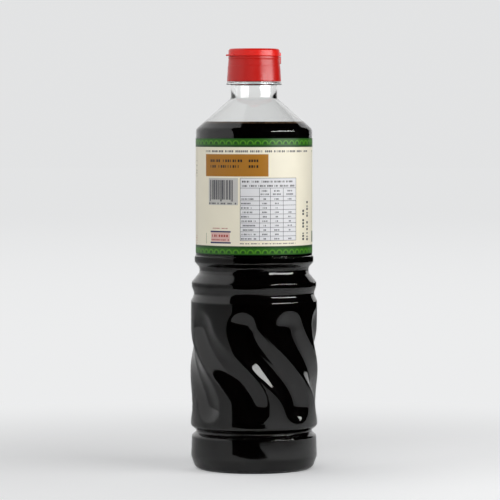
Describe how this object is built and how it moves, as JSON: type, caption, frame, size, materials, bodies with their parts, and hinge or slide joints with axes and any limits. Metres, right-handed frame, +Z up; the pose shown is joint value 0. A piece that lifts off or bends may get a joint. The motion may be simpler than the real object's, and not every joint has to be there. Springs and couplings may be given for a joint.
{
  "type": "soy sauce bottle",
  "caption": "One-litre clear bottle of dark soy sauce, with a fluted grip, waisted body, wrapped label and a shut red flip-top cap.",
  "frame": {"origin": "middle of the foot, on the surface that the bottle stands on", "axes": "+Z up along the bottle's axis; the barcode side of the label faces -Y"},
  "size_m": [0.0822, 0.0822, 0.2708],
  "materials": {
    "clear_plastic": "clear blown plastic, glossy",
    "sauce": "dark brown liquid",
    "label_film": "satin printed film, cream with green bands",
    "cap_plastic": "moulded red plastic, satin"
  },
  "bodies": {
    "root": {"bottle": "clear_plastic", "soy_sauce": "sauce", "label": "label_film", "cap": "cap_plastic", "cap_lid": "cap_plastic"}
  },
  "joints": []
}
